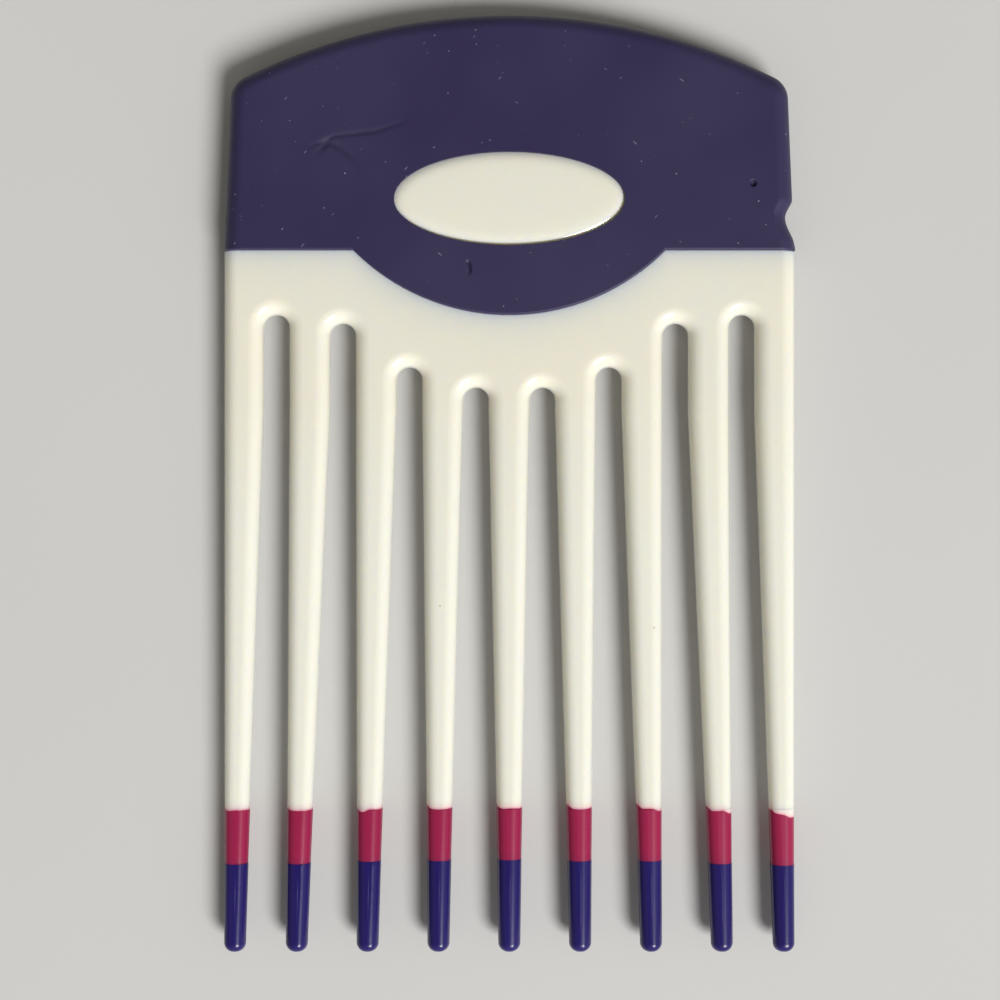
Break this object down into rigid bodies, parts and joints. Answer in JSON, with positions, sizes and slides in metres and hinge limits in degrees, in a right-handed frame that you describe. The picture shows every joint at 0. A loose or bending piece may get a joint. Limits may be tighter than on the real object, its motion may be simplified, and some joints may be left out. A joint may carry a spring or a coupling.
{
  "type": "hair pick",
  "caption": "Wide-tooth hair pick: an ivory plastic comb of long tapering tines with colour-dipped ends, and an arched purple rubber grip with an oval window.",
  "frame": {"origin": "on the surface that the back of the grip lies on, under the middle of the pick's length and width", "axes": "+X across the tines, +Y from the tines' ends to the arched top of the grip, +Z out of the front face"},
  "size_m": [0.0928, 0.152, 0.0074],
  "materials": {
    "ivory_plastic": "moulded, glossy, slightly translucent cream",
    "grip_rubber": "soft matte dark purple, fine moulded texture",
    "magenta_dip": "dipped coat, semi-gloss raspberry",
    "violet_dip": "dipped coat, semi-gloss dark violet"
  },
  "bodies": {
    "root": {"comb_body": "ivory_plastic", "grip": "grip_rubber", "magenta_dip_1": "magenta_dip", "violet_dip_1": "violet_dip", "magenta_dip_2": "magenta_dip", "violet_dip_2": "violet_dip", "magenta_dip_3": "magenta_dip", "violet_dip_3": "violet_dip", "magenta_dip_4": "magenta_dip", "violet_dip_4": "violet_dip", "magenta_dip_5": "magenta_dip", "violet_dip_5": "violet_dip", "magenta_dip_6": "magenta_dip", "violet_dip_6": "violet_dip", "magenta_dip_7": "magenta_dip", "violet_dip_7": "violet_dip", "magenta_dip_8": "magenta_dip", "violet_dip_8": "violet_dip", "magenta_dip_9": "magenta_dip", "violet_dip_9": "violet_dip"}
  },
  "joints": []
}
